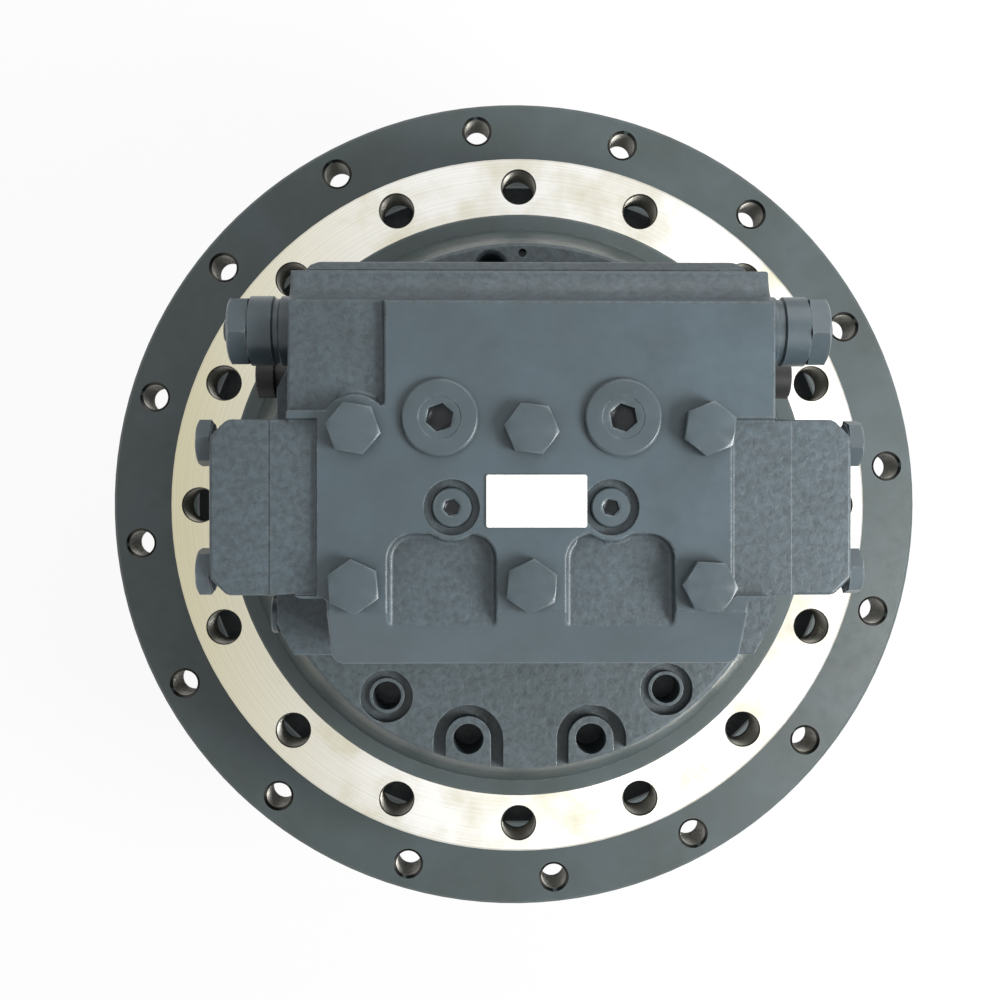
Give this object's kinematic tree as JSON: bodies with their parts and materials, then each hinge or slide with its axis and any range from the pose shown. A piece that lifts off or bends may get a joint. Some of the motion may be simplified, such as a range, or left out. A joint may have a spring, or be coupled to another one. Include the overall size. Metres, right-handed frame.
{
  "type": "travel motor",
  "caption": "Hydraulic travel motor: axial piston motor with brake and valve cover, driving a flanged hub through two planetary stages",
  "frame": {"origin": "centre of the face that bolts to the track frame", "axes": "+Z along the shaft, out through the valve cover; +Y from the main ports to the relief valves"},
  "size_m": [0.4599, 0.46, 0.4775],
  "materials": {
    "case_paint": "satin",
    "cover_paint": "gloss",
    "bolt_paint": "gloss",
    "machined_steel": "machined",
    "gear_steel": "ground",
    "dark_steel": "blackened",
    "cast_iron": "machined",
    "bronze": "lapped",
    "rubber": "matte",
    "plug_plastic": "matte",
    "plate": "satin"
  },
  "bodies": {
    "housing": {"motor_case": "case_paint", "rear_cover": "cover_paint", "cover_seals": "rubber", "cover_bolts": "bolt_paint", "passage_plugs": "bolt_paint", "check_valve_plugs": "bolt_paint", "spool_caps": "cover_paint", "cap_bolts": "bolt_paint", "relief_valves": "bolt_paint", "port_plugs": "plug_plastic", "nameplate": "plate", "counterbalance_springs": "dark_steel", "two_speed_spring": "dark_steel", "spool_plug": "bolt_paint", "valve_plate": "bronze", "brake_separators": "machined_steel", "brake_springs": "dark_steel", "pivot_balls": "machined_steel", "shaft_seal": "rubber", "shaft_bearing_cups": "machined_steel", "bearing_inner_rings": "machined_steel", "bearing_nut": "dark_steel", "case_seal_ring": "machined_steel", "case_toric_ring": "rubber", "planet_carrier_2": "cast_iron", "planet_pins_2": "gear_steel", "carrier_bolts": "dark_steel"},
    "hub": {"hub": "case_paint", "bearing_outer_rings": "machined_steel", "hub_seal_ring": "machined_steel", "hub_toric_ring": "rubber", "end_cover": "case_paint", "end_cover_bolts": "dark_steel", "oil_plugs": "dark_steel", "thrust_plate": "bronze"},
    "ball_sets": {"bearing_balls": "machined_steel"},
    "rotating_group": {"motor_shaft": "gear_steel", "cylinder_block": "cast_iron", "pistons": "machined_steel", "piston_shoes": "bronze", "shoe_retainer": "machined_steel", "barrel_spring": "dark_steel", "friction_discs": "bronze", "shaft_bearing_cones": "machined_steel", "sun_gear_1": "gear_steel"},
    "first_carrier": {"planet_carrier_1": "cast_iron", "sun_gear_2": "gear_steel"},
    "first_planet_a": {"planet_1_a": "gear_steel"},
    "first_planet_b": {"planet_1_b": "gear_steel"},
    "first_planet_c": {"planet_1_c": "gear_steel"},
    "second_planet_a": {"planet_2_a": "gear_steel"},
    "second_planet_b": {"planet_2_b": "gear_steel"},
    "second_planet_c": {"planet_2_c": "gear_steel"},
    "second_planet_d": {"planet_2_d": "gear_steel"},
    "swash": {"swash_plate": "cast_iron"},
    "control": {"control_piston": "machined_steel"},
    "brake": {"brake_piston": "machined_steel"},
    "counterbalance": {"counterbalance_spool": "machined_steel"},
    "two_speed": {"two_speed_spool": "machined_steel"},
    "check_valves": {"check_poppets": "machined_steel"}
  },
  "joints": [
    {"name": "hub_spin", "type": "hinge", "parent": "housing", "child": "hub", "pos_m": [0, 0, 0], "axis": [0, 0, 1], "continuous": true},
    {"name": "ball_set_spin", "type": "hinge", "parent": "housing", "child": "ball_sets", "pos_m": [0, 0, 0], "axis": [0, 0, 1], "continuous": true},
    {"name": "shaft_spin", "type": "hinge", "parent": "housing", "child": "rotating_group", "pos_m": [0, 0, 0], "axis": [0, 0, 1], "continuous": true},
    {"name": "first_carrier_spin", "type": "hinge", "parent": "housing", "child": "first_carrier", "pos_m": [0, 0, 0], "axis": [0, 0, 1], "continuous": true},
    {"name": "first_planet_a_spin", "type": "hinge", "parent": "first_carrier", "child": "first_planet_a", "pos_m": [0.084, 0, -0.237], "axis": [0, 0, 1], "continuous": true},
    {"name": "first_planet_b_spin", "type": "hinge", "parent": "first_carrier", "child": "first_planet_b", "pos_m": [-0.042, 0.07275, -0.237], "axis": [0, 0, 1], "continuous": true},
    {"name": "first_planet_c_spin", "type": "hinge", "parent": "first_carrier", "child": "first_planet_c", "pos_m": [-0.042, -0.07275, -0.237], "axis": [0, 0, 1], "continuous": true},
    {"name": "second_planet_a_spin", "type": "hinge", "parent": "housing", "child": "second_planet_a", "pos_m": [0.088, 0, -0.177], "axis": [0, 0, 1], "continuous": true},
    {"name": "second_planet_b_spin", "type": "hinge", "parent": "housing", "child": "second_planet_b", "pos_m": [0, 0.088, -0.177], "axis": [0, 0, 1], "continuous": true},
    {"name": "second_planet_c_spin", "type": "hinge", "parent": "housing", "child": "second_planet_c", "pos_m": [-0.088, 0, -0.177], "axis": [0, 0, 1], "continuous": true},
    {"name": "second_planet_d_spin", "type": "hinge", "parent": "housing", "child": "second_planet_d", "pos_m": [0, -0.088, -0.177], "axis": [0, 0, 1], "continuous": true},
    {"name": "swash_tilt", "type": "hinge", "parent": "housing", "child": "swash", "pos_m": [0, 0.026, -0.049], "axis": [-1, 0, 0], "range_deg": [0, 9]},
    {"name": "control_piston_slide", "type": "slide", "parent": "housing", "child": "control", "axis": [0, 0, 1], "range_m": [0, 0.0118]},
    {"name": "brake_release", "type": "slide", "parent": "housing", "child": "brake", "axis": [0, 0, 1], "range_m": [0, 0.002], "stiffness_N_per_m": 20000, "deforming": ["brake_springs"]},
    {"name": "counterbalance_shift", "type": "slide", "parent": "housing", "child": "counterbalance", "axis": [1, 0, 0], "range_m": [-0.007, 0.007], "stiffness_N_per_m": 4000, "deforming": ["counterbalance_springs"]},
    {"name": "two_speed_shift", "type": "slide", "parent": "housing", "child": "two_speed", "axis": [1, 0, 0], "range_m": [0, 0.006], "stiffness_N_per_m": 1500, "deforming": ["two_speed_spring"]},
    {"name": "check_valve_lift", "type": "slide", "parent": "housing", "child": "check_valves", "axis": [0, 0, 1], "range_m": [0, 0.005]}
  ],
  "couplings": [
    {"joint": "ball_set_spin", "follows": "hub_spin", "ratio": 0.53592},
    {"joint": "shaft_spin", "follows": "hub_spin", "ratio": -37.5},
    {"joint": "first_carrier_spin", "follows": "hub_spin", "ratio": -4.5},
    {"joint": "first_planet_a_spin", "follows": "hub_spin", "ratio": 13.2},
    {"joint": "first_planet_b_spin", "follows": "hub_spin", "ratio": 13.2},
    {"joint": "first_planet_c_spin", "follows": "hub_spin", "ratio": 13.2},
    {"joint": "second_planet_a_spin", "follows": "hub_spin", "ratio": 2.5714},
    {"joint": "second_planet_b_spin", "follows": "hub_spin", "ratio": 2.5714},
    {"joint": "second_planet_c_spin", "follows": "hub_spin", "ratio": 2.5714},
    {"joint": "second_planet_d_spin", "follows": "hub_spin", "ratio": 2.5714},
    {"joint": "control_piston_slide", "follows": "swash_tilt", "m_per_rad": 0.0745}
  ]
}
